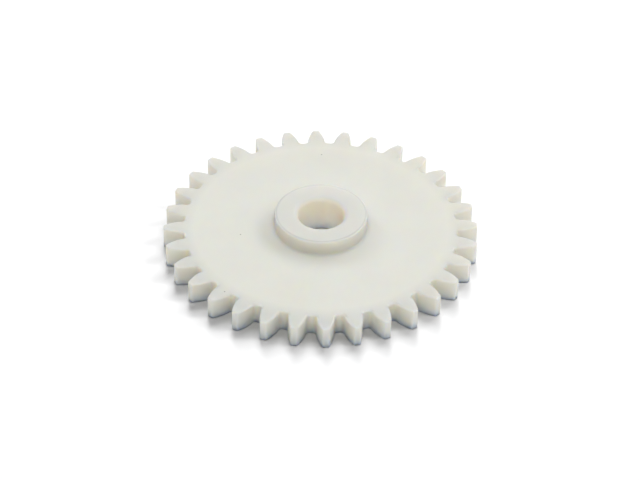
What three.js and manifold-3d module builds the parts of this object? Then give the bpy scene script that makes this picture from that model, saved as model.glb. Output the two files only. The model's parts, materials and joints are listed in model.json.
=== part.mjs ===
// A one-piece plastic spur gear: a flat toothed disc, a short round hub on its front and a plain bore.
//
// Units are millimetres. The bore runs along Z through the origin, the back face lies on z = 0 and the
// hub points to +Z. One tooth is centred on the +X axis.

import * as THREE from "three";
import { mergeVertices } from "three/addons/utils/BufferGeometryUtils.js";
import Module from "manifold-3d";

// Teeth: full-depth involute teeth of module 2, thinned a little so that they run with play.
const TEETH = 32;
const MODULE = 2;
const PRESSURE_ANGLE = THREE.MathUtils.degToRad(20);
const ADDENDUM = MODULE;
const DEDENDUM = 1.25 * MODULE;
const TOOTH_THINNING = 0.1;
const TIP_ROUNDING = 0.25;
const ROOT_FILLET = 0.8;

// Body: disc, hub and bore.
const FACE_WIDTH = 5;
const HUB_HEIGHT = 3.5;
const HUB_DIAMETER = 20;
const BORE_DIAMETER = 10;
const HUB_BASE_FILLET = 0.5;
const EDGE_CHAMFER = 0.3;
const BORE_ROUNDING = 1;

// Facets on each curved stretch.
const FLANK_STEPS = 4;
const TIP_STEPS = 2;
const FILLET_STEPS = 3;
const ROUNDING_STEPS = 5;
const ROUND_STEPS = 96;

// How far the joined hub sinks into the disc, and how far the bore's cutter passes each face.
const JOIN_DEPTH = 1;
const CUT_PAST = 1;

const PITCH_RADIUS = (MODULE * TEETH) / 2;
const BASE_RADIUS = PITCH_RADIUS * Math.cos(PRESSURE_ANGLE);
const TIP_RADIUS = PITCH_RADIUS + ADDENDUM;
const ROOT_RADIUS = PITCH_RADIUS - DEDENDUM;
const TOTAL_WIDTH = FACE_WIDTH + HUB_HEIGHT;

// The root fillet's centre moves on a shifted involute, so its distance from the base circle along
// the tangent is the flank's own distance plus the fillet's radius.
const FILLET_CENTRE_RADIUS = ROOT_RADIUS + ROOT_FILLET;
const CENTRE_TANGENT = Math.sqrt(FILLET_CENTRE_RADIUS ** 2 - BASE_RADIUS ** 2);
const FLANK_FOOT_RADIUS = Math.hypot(BASE_RADIUS, CENTRE_TANGENT - ROOT_FILLET);

const wasm = await Module();
wasm.setup();

// The point at a radius and an angle from +X.
function polar(radius, angle) {
  return new THREE.Vector2(radius * Math.cos(angle), radius * Math.sin(angle));
}

// The involute function of a pressure angle.
function involute(angle) {
  return Math.tan(angle) - angle;
}

// The angle between a tooth's centre line and its flank at a radius on or above the base circle.
function flankAngle(radius) {
  const atPitch = Math.PI / (2 * TEETH) - TOOTH_THINNING / (2 * PITCH_RADIUS);
  return atPitch + involute(PRESSURE_ANGLE) - involute(Math.acos(BASE_RADIUS / radius));
}

// The rounded corner between the tip circle and a flank, from the tip circle down to the flank.
function tipCorner() {
  const corner = polar(TIP_RADIUS, flankAngle(TIP_RADIUS));
  const onTip = polar(TIP_RADIUS, flankAngle(TIP_RADIUS) - TIP_ROUNDING / TIP_RADIUS);
  const onFlank = polar(TIP_RADIUS - TIP_ROUNDING, flankAngle(TIP_RADIUS - TIP_ROUNDING));
  return new THREE.QuadraticBezierCurve(onTip, corner, onFlank).getPoints(TIP_STEPS);
}

// The involute flank, from below the tip's corner down to where the root fillet meets it.
function flank() {
  const top = TIP_RADIUS - TIP_ROUNDING;
  const points = [];
  for (let step = 1; step <= FLANK_STEPS; step++) {
    const radius = THREE.MathUtils.lerp(top, FLANK_FOOT_RADIUS, step / FLANK_STEPS);
    points.push(polar(radius, flankAngle(radius)));
  }
  return points;
}

// The fillet that touches both the flank and the root circle.
function rootFillet() {
  const centreAngle = flankAngle(FILLET_CENTRE_RADIUS) + ROOT_FILLET / BASE_RADIUS;
  const centre = polar(FILLET_CENTRE_RADIUS, centreAngle);
  const start = centreAngle - Math.acos(BASE_RADIUS / FILLET_CENTRE_RADIUS) - Math.PI / 2;
  const end = centreAngle - Math.PI;
  const points = [];
  for (let step = 1; step <= FILLET_STEPS; step++) {
    const angle = THREE.MathUtils.lerp(start, end, step / FILLET_STEPS);
    points.push(polar(ROOT_FILLET, angle).add(centre));
  }
  return points;
}

// One tooth centred on +X, counter-clockwise from root to root.
function toothOutline() {
  const upper = [...tipCorner(), ...flank(), ...rootFillet()];
  const lower = upper.map((point) => new THREE.Vector2(point.x, -point.y)).reverse();
  return [...lower, new THREE.Vector2(TIP_RADIUS, 0), ...upper];
}

// The whole toothed outline.
function gearShape() {
  const tooth = toothOutline();
  const axis = new THREE.Vector2(0, 0);
  const points = [];
  for (let index = 0; index < TEETH; index++) {
    const turn = (2 * Math.PI * index) / TEETH;
    points.push(...tooth.map((point) => point.clone().rotateAround(axis, turn)));
  }
  return new THREE.Shape(points);
}

// A closed geometry as a solid for joining and cutting.
function solidOf(geometry) {
  geometry.deleteAttribute("normal");
  geometry.deleteAttribute("uv");
  const merged = mergeVertices(geometry);
  const vertProperties = merged.attributes.position.array;
  const triVerts = new Uint32Array(merged.index.array);
  return new wasm.Manifold(new wasm.Mesh({ numProp: 3, vertProperties, triVerts }));
}

// A solid's surface as a geometry.
function geometryOf(solid) {
  const mesh = solid.getMesh();
  const geometry = new THREE.BufferGeometry();
  geometry.setAttribute("position", new THREE.BufferAttribute(mesh.vertProperties, 3));
  geometry.setIndex(new THREE.BufferAttribute(mesh.triVerts, 1));
  geometry.computeVertexNormals();
  return geometry;
}

// The solid of revolution of a profile in radius and height that starts and ends on the axis.
function turned(profile) {
  const points = profile.map(([radius, height]) => new THREE.Vector2(radius, height));
  const geometry = new THREE.LatheGeometry(points, ROUND_STEPS);
  geometry.rotateX(Math.PI / 2);
  return solidOf(geometry);
}

// The toothed disc, without its bore.
function toothedDisc() {
  return solidOf(new THREE.ExtrudeGeometry(gearShape(), { depth: FACE_WIDTH, bevelEnabled: false }));
}

// The hub, with a fillet where it meets the disc and a chamfer round its front edge.
function hub() {
  const radius = HUB_DIAMETER / 2;
  const foot = radius + HUB_BASE_FILLET;
  const fillet = [];
  for (let step = 0; step <= FILLET_STEPS; step++) {
    const angle = (Math.PI / 2) * (step / FILLET_STEPS);
    const height = FACE_WIDTH + HUB_BASE_FILLET * (1 - Math.cos(angle));
    fillet.push([foot - HUB_BASE_FILLET * Math.sin(angle), height]);
  }
  return turned([
    [0, FACE_WIDTH - JOIN_DEPTH],
    [foot, FACE_WIDTH - JOIN_DEPTH],
    ...fillet,
    [radius, TOTAL_WIDTH - EDGE_CHAMFER],
    [radius - EDGE_CHAMFER, TOTAL_WIDTH],
    [0, TOTAL_WIDTH],
  ]);
}

// The cutter for the bore, with the rounded mouth at the hub and the small chamfer at the back.
function boreCutter() {
  const radius = BORE_DIAMETER / 2;
  const mouth = [];
  for (let step = 0; step <= ROUNDING_STEPS; step++) {
    const angle = (Math.PI / 2) * (step / ROUNDING_STEPS);
    const height = TOTAL_WIDTH - BORE_ROUNDING * (1 - Math.sin(angle));
    mouth.push([radius + BORE_ROUNDING * (1 - Math.cos(angle)), height]);
  }
  return turned([
    [0, -CUT_PAST],
    [radius + EDGE_CHAMFER + CUT_PAST, -CUT_PAST],
    [radius, EDGE_CHAMFER],
    ...mouth,
    [radius + BORE_ROUNDING, TOTAL_WIDTH + CUT_PAST],
    [0, TOTAL_WIDTH + CUT_PAST],
  ]);
}

// Milky natural nylon.
const nylon = new THREE.MeshStandardMaterial({ color: 0xe2e1d8, roughness: 0.45, metalness: 0 });

const spurGear = new THREE.Mesh(geometryOf(toothedDisc().add(hub()).subtract(boreCutter())), nylon);
spurGear.name = "spur_gear";

const group = new THREE.Group();
group.add(spurGear);

export default group;
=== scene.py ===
"""A one-piece spur gear in milky natural nylon, lying on a white studio floor.

The gear is one closed mesh, swept ring by ring round its section: back face, teeth, front face, hub
and bore. Lengths are millimetres in the gear's own frame until the mesh is made in metres.
"""

import json
import math

import bpy
import numpy as np
from mathutils import Matrix, Vector


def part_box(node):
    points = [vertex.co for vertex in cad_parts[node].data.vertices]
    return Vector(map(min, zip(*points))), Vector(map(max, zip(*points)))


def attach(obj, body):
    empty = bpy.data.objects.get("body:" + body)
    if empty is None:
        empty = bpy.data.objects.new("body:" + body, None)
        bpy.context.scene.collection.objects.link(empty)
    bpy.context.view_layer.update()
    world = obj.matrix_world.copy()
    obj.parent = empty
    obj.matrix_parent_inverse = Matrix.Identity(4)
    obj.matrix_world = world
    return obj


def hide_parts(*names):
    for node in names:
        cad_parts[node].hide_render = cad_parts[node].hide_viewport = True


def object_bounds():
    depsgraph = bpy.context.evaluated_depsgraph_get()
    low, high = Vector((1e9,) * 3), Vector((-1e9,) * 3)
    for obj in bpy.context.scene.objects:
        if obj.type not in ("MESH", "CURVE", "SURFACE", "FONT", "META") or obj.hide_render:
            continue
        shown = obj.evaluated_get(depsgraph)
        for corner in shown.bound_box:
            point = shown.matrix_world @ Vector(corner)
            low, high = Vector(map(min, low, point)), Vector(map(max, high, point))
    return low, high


MM = 0.001

# Teeth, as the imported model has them.
TEETH = 32
PRESSURE_ANGLE = math.radians(20)
TOOTH_THINNING = 0.1
DEDENDUM_SHARE = 1.25
TIP_ROUNDING = 0.25
ROOT_FILLET = 0.8

# Edges and hub fillet.
HUB_EDGE_RADIUS = 0.3
BORE_BACK_RADIUS = 0.3
TOOTH_TOP_RADIUS = 0.35
TOOTH_BOTTOM_RADIUS = 0.04
HUB_BASE_FILLET = 0.5

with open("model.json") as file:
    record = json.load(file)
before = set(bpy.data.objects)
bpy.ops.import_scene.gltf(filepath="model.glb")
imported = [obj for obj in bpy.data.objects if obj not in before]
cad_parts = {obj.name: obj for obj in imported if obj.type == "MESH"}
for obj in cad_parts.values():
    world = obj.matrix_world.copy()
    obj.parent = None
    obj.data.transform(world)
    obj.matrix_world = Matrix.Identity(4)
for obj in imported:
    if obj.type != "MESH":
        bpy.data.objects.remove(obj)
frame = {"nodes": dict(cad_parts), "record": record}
CAD_LOW, CAD_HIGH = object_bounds()

CAD_POINTS = np.array([v.co for v in frame["nodes"]["spur_gear"].data.vertices]) / MM
CAD_RADII = np.hypot(CAD_POINTS[:, 0], CAD_POINTS[:, 1])


def mount_height(name):
    """The height of one of the record's flat faces."""
    mount = next(m for m in frame["record"]["mounts"] if m["name"] == name)
    return mount["pos_m"][2] / MM


LOW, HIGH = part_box("spur_gear")
TIP_RADIUS = (HIGH.x - LOW.x) / MM / 2
MODULE = 2 * TIP_RADIUS / (TEETH + 2)
PITCH_RADIUS = MODULE * TEETH / 2
BASE_RADIUS = PITCH_RADIUS * math.cos(PRESSURE_ANGLE)
ROOT_RADIUS = PITCH_RADIUS - DEDENDUM_SHARE * MODULE
FACE_HEIGHT = mount_height("front_face")
HUB_TOP = mount_height("hub_face")
HEIGHT_TOLERANCE = 0.01
HUB_FACE_RADII = CAD_RADII[np.abs(CAD_POINTS[:, 2] - HUB_TOP) < HEIGHT_TOLERANCE]
HUB_RADIUS = HUB_FACE_RADII.max() + HUB_EDGE_RADIUS
BORE_RADIUS = CAD_RADII.min()
BORE_ROUNDING = HUB_FACE_RADII.min() - BORE_RADIUS


# ---------------------------------------------------------------- outline of the teeth

# Steps along each stretch of half a tooth.
TIP_STEPS = 2
CORNER_STEPS = 5
FLANK_STEPS = 9
FILLET_STEPS = 6
ROOT_STEPS = 2


def polar(radius, angle):
    return np.array([radius * math.cos(angle), radius * math.sin(angle)])


def involute(angle):
    return math.tan(angle) - angle


def flank_angle(radius):
    """The angle between a tooth's centre line and its flank, on or above the base circle."""
    at_pitch = math.pi / (2 * TEETH) - TOOTH_THINNING / (2 * PITCH_RADIUS)
    pressure = math.acos(BASE_RADIUS / radius)
    return at_pitch + involute(PRESSURE_ANGLE) - involute(pressure)


def half_tooth():
    """The outline from the middle of a tooth's tip, centred on +X, to just short of mid-root.

    The root fillet touches the flank and the root circle, so its centre lies on a shifted involute.
    """
    points = []
    corner_angle = flank_angle(TIP_RADIUS)
    on_tip = corner_angle - TIP_ROUNDING / TIP_RADIUS
    for i in range(TIP_STEPS):
        points.append(polar(TIP_RADIUS, on_tip * i / TIP_STEPS))
    shoulder = TIP_RADIUS - TIP_ROUNDING
    start = polar(TIP_RADIUS, on_tip)
    corner = polar(TIP_RADIUS, corner_angle)
    end = polar(shoulder, flank_angle(shoulder))
    for i in range(CORNER_STEPS):
        t = i / CORNER_STEPS
        points.append((1 - t) ** 2 * start + 2 * t * (1 - t) * corner + t * t * end)
    centre_radius = ROOT_RADIUS + ROOT_FILLET
    centre_angle = flank_angle(centre_radius) + ROOT_FILLET / BASE_RADIUS
    centre = polar(centre_radius, centre_angle)
    foot = math.hypot(BASE_RADIUS, math.sqrt(centre_radius**2 - BASE_RADIUS**2) - ROOT_FILLET)
    for i in range(FLANK_STEPS):
        radius = shoulder + (foot - shoulder) * i / FLANK_STEPS
        points.append(polar(radius, flank_angle(radius)))
    first = centre_angle - math.acos(BASE_RADIUS / centre_radius) - math.pi / 2
    last = centre_angle - math.pi
    for i in range(FILLET_STEPS):
        angle = first + (last - first) * i / FILLET_STEPS
        points.append(centre + polar(ROOT_FILLET, angle))
    for i in range(ROOT_STEPS):
        angle = centre_angle + (math.pi / TEETH - centre_angle) * i / ROOT_STEPS
        points.append(polar(ROOT_RADIUS, angle))
    return np.array(points)


def turned(points, angle):
    """Points in the plane, turned about the origin."""
    cosine, sine = math.cos(angle), math.sin(angle)
    return points @ np.array([[cosine, sine], [-sine, cosine]])


def gear_outline():
    """The whole outline, counter-clockwise, starting at the tip of the tooth on +X."""
    half = half_tooth()
    middle = polar(ROOT_RADIUS, math.pi / TEETH)[None]
    turn = 2 * math.pi / TEETH
    mirrored = half[1:][::-1] * [1, -1]
    pitch = np.vstack([half, middle, turned(mirrored, turn)])
    teeth = []
    for index in range(TEETH):
        teeth.append(turned(pitch, turn * index))
    return np.vstack(teeth)


def outward_normals(outline):
    """Unit normals of a closed counter-clockwise outline."""
    before = outline - np.roll(outline, 1, axis=0)
    after = np.roll(outline, -1, axis=0) - outline
    before /= np.linalg.norm(before, axis=1)[:, None]
    after /= np.linalg.norm(after, axis=1)[:, None]
    tangent = before + after
    tangent /= np.linalg.norm(tangent, axis=1)[:, None]
    return np.stack([tangent[:, 1], -tangent[:, 0]], axis=1)


# ---------------------------------------------------------------- mesh

# The hub, bore and back have one corner for every few corners of the toothed outline.
OUTLINE_CORNERS_PER_HUB_CORNER = 4

# Steps on each rounded edge, and the gap from a rounded edge to the loop that keeps its shading crisp.
EDGE_STEPS = 4
HUB_FILLET_STEPS = 6
MOUTH_STEPS = 8
RIM_SUPPORT = 0.08
HUB_SUPPORT = 0.1

# Heights of the loops up a tooth's side, and radii of the loops that divide the flat faces.
SIDE_SHARES = (0.03, 0.2, 0.4, 0.6, 0.8, 0.97)
RIM_BELT = ROOT_RADIUS - 0.9
DISC_BELT = ROOT_RADIUS - 3.0
FRONT_RADII = (DISC_BELT, 22, 16, 12.5)
BACK_RADII = (9, 16, 22, DISC_BELT)


def quarter(steps):
    """Sine and cosine pairs from 0 to a right angle, ends included."""
    angles = np.linspace(0, math.pi / 2, steps + 1)
    return list(zip(np.sin(angles), np.cos(angles)))


def tooth_rings(outline):
    """The rings of the toothed rim, from the back face's edge up to the front face's edge."""
    normals = outward_normals(outline)
    low, top = TOOTH_BOTTOM_RADIUS, TOOTH_TOP_RADIUS
    levels = [(low + RIM_SUPPORT, 0.0)]
    levels += [(low * (1 - s), low * (1 - c)) for s, c in quarter(EDGE_STEPS)]
    for share in SIDE_SHARES:
        levels.append((0.0, low + (FACE_HEIGHT - low - top) * share))
    levels += [(top * (1 - c), FACE_HEIGHT - top * (1 - s)) for s, c in quarter(EDGE_STEPS)]
    levels.append((top + RIM_SUPPORT, FACE_HEIGHT))
    rings = []
    for inset, height in levels:
        flat = outline - normals * inset
        rings.append(np.column_stack([flat, np.full(len(flat), height)]))
    return rings


def circle(radius, height, count):
    angles = 2 * math.pi * np.arange(count) / count
    return np.column_stack([radius * np.cos(angles), radius * np.sin(angles), np.full(count, height)])


def front_profile():
    """Radius and height from the front of the disc, over the hub and down into the bore."""
    foot = HUB_RADIUS + HUB_BASE_FILLET
    edge = HUB_EDGE_RADIUS
    profile = [(radius, FACE_HEIGHT) for radius in FRONT_RADII]
    profile += [(foot + 4 * HUB_SUPPORT, FACE_HEIGHT), (foot + HUB_SUPPORT, FACE_HEIGHT)]
    for s, c in quarter(HUB_FILLET_STEPS):
        profile.append((foot - HUB_BASE_FILLET * s, FACE_HEIGHT + HUB_BASE_FILLET * (1 - c)))
    profile.append((HUB_RADIUS, FACE_HEIGHT + HUB_BASE_FILLET + HUB_SUPPORT))
    profile.append((HUB_RADIUS, HUB_TOP - edge - HUB_SUPPORT))
    for s, c in quarter(EDGE_STEPS):
        profile.append((HUB_RADIUS - edge * (1 - c), HUB_TOP - edge * (1 - s)))
    profile.append((HUB_RADIUS - edge - HUB_SUPPORT, HUB_TOP))
    profile.append(((HUB_RADIUS + BORE_RADIUS) / 2, HUB_TOP))
    profile.append((BORE_RADIUS + BORE_ROUNDING + 3 * HUB_SUPPORT, HUB_TOP))
    for s, c in quarter(MOUTH_STEPS):
        profile.append((BORE_RADIUS + BORE_ROUNDING * (1 - s), HUB_TOP - BORE_ROUNDING * (1 - c)))
    return profile


def bore_and_back_profile():
    """Radius and height down the bore and out over the back face."""
    edge = BORE_BACK_RADIUS
    mouth_foot = HUB_TOP - BORE_ROUNDING
    profile = [(BORE_RADIUS, mouth_foot - BORE_ROUNDING / 4)]
    for share in (0.75, 0.5, 0.25):
        profile.append((BORE_RADIUS, edge + (mouth_foot - edge) * share))
    profile.append((BORE_RADIUS, edge + HUB_SUPPORT))
    for s, c in quarter(EDGE_STEPS):
        profile.append((BORE_RADIUS + edge * (1 - c), edge * (1 - s)))
    profile.append((BORE_RADIUS + edge + HUB_SUPPORT, 0))
    profile += [(radius, 0) for radius in BACK_RADII]
    return profile


def bridge(faces, lower, upper):
    """Quads between two rings with the same number of corners."""
    count = len(lower)
    for i in range(count):
        j = (i + 1) % count
        faces.append((lower[i], lower[j], upper[j], upper[i]))


def bridge_coarser(faces, fine, coarse, flip):
    """Faces between a fine ring and a ring with a whole fraction of its corners."""
    step = len(fine) // len(coarse)
    for i in range(len(coarse)):
        j = (i + 1) % len(coarse)
        outer = [fine[(i * step + k) % len(fine)] for k in range(step + 1)]
        face = [coarse[i], *outer, coarse[j]]
        faces.append(tuple(reversed(face)) if flip else tuple(face))


def gear_mesh():
    """The whole gear as one closed mesh."""
    outline = gear_outline()
    fine = len(outline)
    coarse = fine // OUTLINE_CORNERS_PER_HUB_CORNER
    rings = [circle(RIM_BELT, 0, fine)]
    rings += tooth_rings(outline)
    rings.append(circle(RIM_BELT, FACE_HEIGHT, fine))
    profile = front_profile() + bore_and_back_profile()
    first_coarse = len(rings)
    rings += [circle(radius, height, coarse) for radius, height in profile]
    starts = np.cumsum([0] + [len(ring) for ring in rings])
    corner_ids = [list(range(starts[i], starts[i + 1])) for i in range(len(rings))]
    faces = []
    for i in range(first_coarse - 1):
        bridge(faces, corner_ids[i], corner_ids[i + 1])
    bridge_coarser(faces, corner_ids[first_coarse - 1], corner_ids[first_coarse], flip=False)
    for i in range(first_coarse, len(rings) - 1):
        bridge(faces, corner_ids[i], corner_ids[i + 1])
    bridge_coarser(faces, corner_ids[0], corner_ids[-1], flip=True)
    mesh = bpy.data.meshes.new("moulded_spur_gear")
    mesh.from_pydata((np.vstack(rings) * MM).tolist(), [], faces)
    mesh.validate()
    mesh.update()
    mesh.polygons.foreach_set("use_smooth", [True] * len(mesh.polygons))
    return mesh


# ---------------------------------------------------------------- materials

# Base colours: the nylon's two cloud tones, and a tint for each zone. The bore's is painted light,
# lighter and warmer as if lit through the wall; the hub's and the teeth's are painted shade, greyer and
# bluer; the disc's is a plain tint.
CLOUD_TONES = ((0.865, 0.84, 0.755), (0.89, 0.865, 0.785))
BORE_PAINTED_LIGHT = (0.99, 0.965, 0.97)
HUB_PAINTED_SHADE = (0.795, 0.83, 0.88)
DISC_TINT = (0.91, 0.92, 0.93)
TEETH_PAINTED_SHADE = (0.775, 0.80, 0.84)

# The thin darker line just inside the hub's top edge.
EDGE_LINE_DEPTH = 0.18

# Tiny dark specks moulded into the disc and the teeth.
SPECKS = (
    (-17.4, -2.9, 5.0),
    (1.0, 25.0, 5.0),
    (-20.9, -21.7, 5.0),
    (32.9, 3.0, 5.0),
    (30.3, -11.2, 5.0),
)
SPECK_RADIUS = 0.16
SPECK_TONE = 0.45

# Textures: how many features there are in a metre, and the grain's relief.
CLOUDS_PER_METRE = 90
GRAIN_PER_METRE = 1400
FIBRES_PER_METRE = 300
GRAIN_STRENGTH = 0.12
GRAIN_DEPTH = 0.08


def new_material(name):
    material = bpy.data.materials.new(name)
    material.use_nodes = True
    tree = material.node_tree
    return material, tree, tree.nodes["Principled BSDF"]


def ramp(tree, value, stops):
    """A colour ramp through (position, grey or colour) stops, fed by an output."""
    node = tree.nodes.new("ShaderNodeValToRGB")
    elements = node.color_ramp.elements
    while len(elements) < len(stops):
        elements.new(0.5)
    for element, (position, color) in zip(elements, stops):
        element.position = position
        element.color = (*color, 1) if isinstance(color, tuple) else (color, color, color, 1)
    tree.links.new(value, node.inputs["Fac"])
    return node.outputs["Color"]


def multiply(tree, first, second):
    """The product of two colours."""
    node = tree.nodes.new("ShaderNodeVectorMath")
    node.operation = "MULTIPLY"
    tree.links.new(first, node.inputs[0])
    tree.links.new(second, node.inputs[1])
    return node.outputs["Vector"]


def one_minus(tree, value):
    """One minus a colour."""
    node = tree.nodes.new("ShaderNodeVectorMath")
    node.operation = "MULTIPLY_ADD"
    node.inputs[1].default_value = (-1, -1, -1)
    node.inputs[2].default_value = (1, 1, 1)
    tree.links.new(value, node.inputs[0])
    return node.outputs["Vector"]


def noise(tree, coordinates, scale, detail):
    """Smooth noise between 0 and 1, finer with more detail."""
    node = tree.nodes.new("ShaderNodeTexNoise")
    node.inputs["Scale"].default_value = scale
    node.inputs["Detail"].default_value = detail
    tree.links.new(coordinates, node.inputs["Vector"])
    return node.outputs["Fac"]


def shares(tree, coordinates):
    """The distance from the bore's axis and the height, each as a share of the gear's own."""
    scaled = tree.nodes.new("ShaderNodeVectorMath")
    scaled.operation = "MULTIPLY"
    scaled.inputs[1].default_value = (1 / (TIP_RADIUS * MM), 1 / (TIP_RADIUS * MM), 0)
    tree.links.new(coordinates, scaled.inputs[0])
    length = tree.nodes.new("ShaderNodeVectorMath")
    length.operation = "LENGTH"
    tree.links.new(scaled.outputs["Vector"], length.inputs[0])
    raised = tree.nodes.new("ShaderNodeVectorMath")
    raised.operation = "MULTIPLY"
    raised.inputs[1].default_value = (0, 0, 1 / (HUB_TOP * MM))
    tree.links.new(coordinates, raised.inputs[0])
    split = tree.nodes.new("ShaderNodeSeparateXYZ")
    tree.links.new(raised.outputs["Vector"], split.inputs["Vector"])
    return length.outputs["Value"], split.outputs["Z"]


def specks(tree, coordinates):
    """A tone that is dark at each speck and white elsewhere.

    The distance to the nearest speck is scaled so that half is a speck's radius.
    """
    nearest = None
    for point in SPECKS:
        distance = tree.nodes.new("ShaderNodeVectorMath")
        distance.operation = "DISTANCE"
        distance.inputs[1].default_value = [length * MM for length in point]
        tree.links.new(coordinates, distance.inputs[0])
        if nearest is None:
            nearest = distance.outputs["Value"]
            continue
        least = tree.nodes.new("ShaderNodeMath")
        least.operation = "MINIMUM"
        tree.links.new(nearest, least.inputs[0])
        tree.links.new(distance.outputs["Value"], least.inputs[1])
        nearest = least.outputs["Value"]
    scaled = tree.nodes.new("ShaderNodeMath")
    scaled.operation = "MULTIPLY"
    scaled.inputs[1].default_value = 0.5 / (SPECK_RADIUS * MM)
    tree.links.new(nearest, scaled.inputs[0])
    return ramp(tree, scaled.outputs["Value"], [(0.3, SPECK_TONE), (0.6, 1.0)])


def painted_light_by_zone(tree, radius):
    """Painted light by zone, from the axis outwards: painted light in the bore, painted shade on the
    hub, the disc's plain tint and painted shade on the teeth.
    """
    bore = BORE_RADIUS / TIP_RADIUS
    hub = HUB_RADIUS / TIP_RADIUS
    root = ROOT_RADIUS / TIP_RADIUS
    stops = [(bore + 0.001, BORE_PAINTED_LIGHT), (bore + 0.012, HUB_PAINTED_SHADE), (hub - 0.002, HUB_PAINTED_SHADE)]
    stops += [(hub + 0.03, DISC_TINT), (root - 0.06, DISC_TINT), (root + 0.06, TEETH_PAINTED_SHADE)]
    return ramp(tree, radius, stops)


def edge_line(tree, radius, height):
    """A tone with the darker line round the hub's top face, and white elsewhere."""
    hub = HUB_RADIUS / TIP_RADIUS
    ring = [(hub - 0.018, 0.0), (hub - 0.011, EDGE_LINE_DEPTH), (hub - 0.006, EDGE_LINE_DEPTH)]
    ring += [(hub - 0.001, 0.0)]
    on_top = ramp(tree, height, [(0.9, 0.0), (0.95, 1.0)])
    return one_minus(tree, multiply(tree, on_top, ramp(tree, radius, ring)))


def nylon_material():
    """Milky natural nylon: translucent and satin, with faint clouding, a fine grain and a few specks."""
    material, tree, shader = new_material("natural_nylon")
    coordinates = tree.nodes.new("ShaderNodeTexCoord").outputs["Object"]
    radius, height = shares(tree, coordinates)

    clouds = noise(tree, coordinates, CLOUDS_PER_METRE, 3)
    tone = ramp(tree, clouds, [(0.3, CLOUD_TONES[0]), (0.7, CLOUD_TONES[1])])
    # Painted light and shade by zone: the bore painted lighter and warmer, the hub and teeth painted
    # greyer and bluer.
    tone = multiply(tree, tone, painted_light_by_zone(tree, radius))
    tone = multiply(tree, tone, edge_line(tree, radius, height))
    tone = multiply(tree, tone, specks(tree, coordinates))
    tree.links.new(tone, shader.inputs["Base Color"])

    bump = tree.nodes.new("ShaderNodeBump")
    bump.inputs["Strength"].default_value = GRAIN_STRENGTH
    bump.inputs["Distance"].default_value = GRAIN_DEPTH * MM
    tree.links.new(noise(tree, coordinates, GRAIN_PER_METRE, 4), bump.inputs["Height"])
    tree.links.new(bump.outputs["Normal"], shader.inputs["Normal"])

    shader.inputs["Roughness"].default_value = 0.42
    shader.inputs["IOR"].default_value = 1.5
    shader.inputs["Subsurface Weight"].default_value = 1.0
    shader.inputs["Subsurface Scale"].default_value = 8 * MM
    shader.inputs["Subsurface Radius"].default_value = (1.0, 0.75, 0.45)
    return material


def paper_material():
    """Matt white paper."""
    material, tree, shader = new_material("white_paper")
    coordinates = tree.nodes.new("ShaderNodeTexCoord").outputs["Object"]
    fibres = noise(tree, coordinates, FIBRES_PER_METRE, 2)
    tone = ramp(tree, fibres, [(0.0, (0.97, 0.97, 0.975)), (1.0, (0.99, 0.99, 0.995))])
    tree.links.new(tone, shader.inputs["Base Color"])
    shader.inputs["Roughness"].default_value = 0.9
    shader.inputs["Specular IOR Level"].default_value = 0.1
    return material


# ---------------------------------------------------------------- stage

FLOOR_HALF_SIZE = 3.0
FLOOR_GAP = 0.02 * MM


def make_floor():
    """The sheet of paper, just under the gear."""
    mesh = bpy.data.meshes.new("floor")
    s = FLOOR_HALF_SIZE
    mesh.from_pydata([(-s, -s, 0), (s, -s, 0), (s, s, 0), (-s, s, 0)], [], [(0, 1, 2, 3)])
    floor = bpy.data.objects.new("floor", mesh)
    floor.location.z = CAD_LOW.z - FLOOR_GAP
    floor.data.materials.append(paper_material())
    bpy.context.scene.collection.objects.link(floor)
    return floor


# Camera: its elevation, its turns about the vertical and about its own axis, the tip radius as a share
# of the distance and of the picture's width, and how far right of and above the picture's middle the
# middle of the disc's front face is, in tip radii.
CAMERA_ELEVATION = 0.6912
CAMERA_TURN = -0.0472
CAMERA_ROLL = -0.0227
TIP_RADIUS_PER_DISTANCE = 0.06
TIP_RADIUS_PER_WIDTH = 0.24547
DISC_RIGHT = 0.00509
DISC_UP = 0.09313
SENSOR_WIDTH = 36.0


def make_camera():
    """The camera, aimed so that the disc's front face has its place in the picture."""
    tip_radius = TIP_RADIUS * MM
    distance = tip_radius / TIP_RADIUS_PER_DISTANCE
    data = bpy.data.cameras.new("camera")
    data.sensor_width = SENSOR_WIDTH
    data.lens = SENSOR_WIDTH * TIP_RADIUS_PER_WIDTH / TIP_RADIUS_PER_DISTANCE
    data.clip_end = 100
    camera = bpy.data.objects.new("camera", data)
    spin = Matrix.Rotation(CAMERA_TURN, 3, "Z")
    tilt = Matrix.Rotation(math.pi / 2 - CAMERA_ELEVATION, 3, "X")
    roll = Matrix.Rotation(-CAMERA_ROLL, 3, "Z")
    turn = spin @ tilt @ roll
    from_disc = Vector((-DISC_RIGHT * tip_radius, -DISC_UP * tip_radius, distance))
    disc_middle = Vector((0, 0, FACE_HEIGHT * MM))
    camera.matrix_world = Matrix.Translation(disc_middle + turn @ from_disc) @ turn.to_4x4()
    bpy.context.scene.collection.objects.link(camera)
    bpy.context.scene.camera = camera


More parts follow.
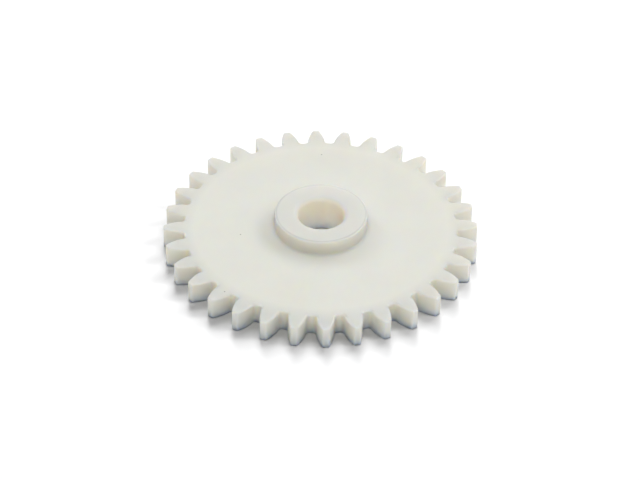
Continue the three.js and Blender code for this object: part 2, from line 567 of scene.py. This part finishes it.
# Round soft boxes: azimuth from the camera's side, elevation, diameter and power. One set lights the
# gear and the other the paper, so that the paper stays white while the gear keeps its tone. The world
# adds a faint white surround.
LIGHT_DISTANCE = 3.0
SURROUND_STRENGTH = 0.02
GEAR_LIGHTS = {
    "gear_front_high": (0, 62, 1.25, 49),
    "gear_rear_right": (135, 37, 1.25, 23),
    "gear_rear": (180, 35, 1.25, 6),
    "gear_rear_left": (225, 35, 1.25, 24),
    "gear_right": (90, 38, 1.25, 18),
    "gear_left": (270, 55, 1.25, 6),
}
PAPER_LIGHTS = {
    "paper_rear_high": (180, 58, 1.25, 30),
    "paper_rear_low": (180, 39, 1.0, 32),
    "paper_rear_right_high": (145, 60, 1.25, 10),
    "paper_rear_right_low": (140, 40, 1.0, 16),
    "paper_right_high": (60, 60, 1.5, 6),
    "paper_right_low": (85, 42, 1.0, 24),
    "paper_left_high": (285, 60, 1.5, 8),
    "paper_left_low": (240, 38, 1.5, 7),
    "paper_top": (0, 90, 1.5, 3),
}


def make_soft_box(name, lit, azimuth, elevation, size, power):
    """A round lamp that faces the gear and lights one collection."""
    data = bpy.data.lights.new(name, "AREA")
    data.shape = "DISK"
    data.size = size
    data.energy = power
    light = bpy.data.objects.new(name, data)
    turn, lift = math.radians(azimuth), math.radians(elevation)
    flat = math.cos(lift)
    away = Vector((math.sin(turn) * flat, -math.cos(turn) * flat, math.sin(lift)))
    facing = (-away).to_track_quat("-Z", "Y").to_matrix().to_4x4()
    light.matrix_world = Matrix.Translation(away * LIGHT_DISTANCE) @ facing
    light.light_linking.receiver_collection = lit
    bpy.context.scene.collection.objects.link(light)


def make_lights(gear, floor):
    """A faint white surround and both sets of soft boxes."""
    world = bpy.data.worlds.new("studio")
    world.use_nodes = True
    background = world.node_tree.nodes["Background"]
    background.inputs["Color"].default_value = (1.0, 1.0, 1.0, 1)
    background.inputs["Strength"].default_value = SURROUND_STRENGTH
    bpy.context.scene.world = world
    for lit_object, lights in ((gear, GEAR_LIGHTS), (floor, PAPER_LIGHTS)):
        lit = bpy.data.collections.new(f"lit_{lit_object.name}")
        lit.objects.link(lit_object)
        for name, (azimuth, elevation, size, power) in lights.items():
            make_soft_box(name, lit, azimuth, elevation, size, power)


# ---------------------------------------------------------------- scene

bpy.context.scene.view_settings.view_transform = "Standard"

gear = bpy.data.objects.new("moulded_spur_gear", gear_mesh())
gear.data.materials.append(nylon_material())
bpy.context.scene.collection.objects.link(gear)
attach(gear, "root")
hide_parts("spur_gear")

make_camera()
make_lights(gear, make_floor())
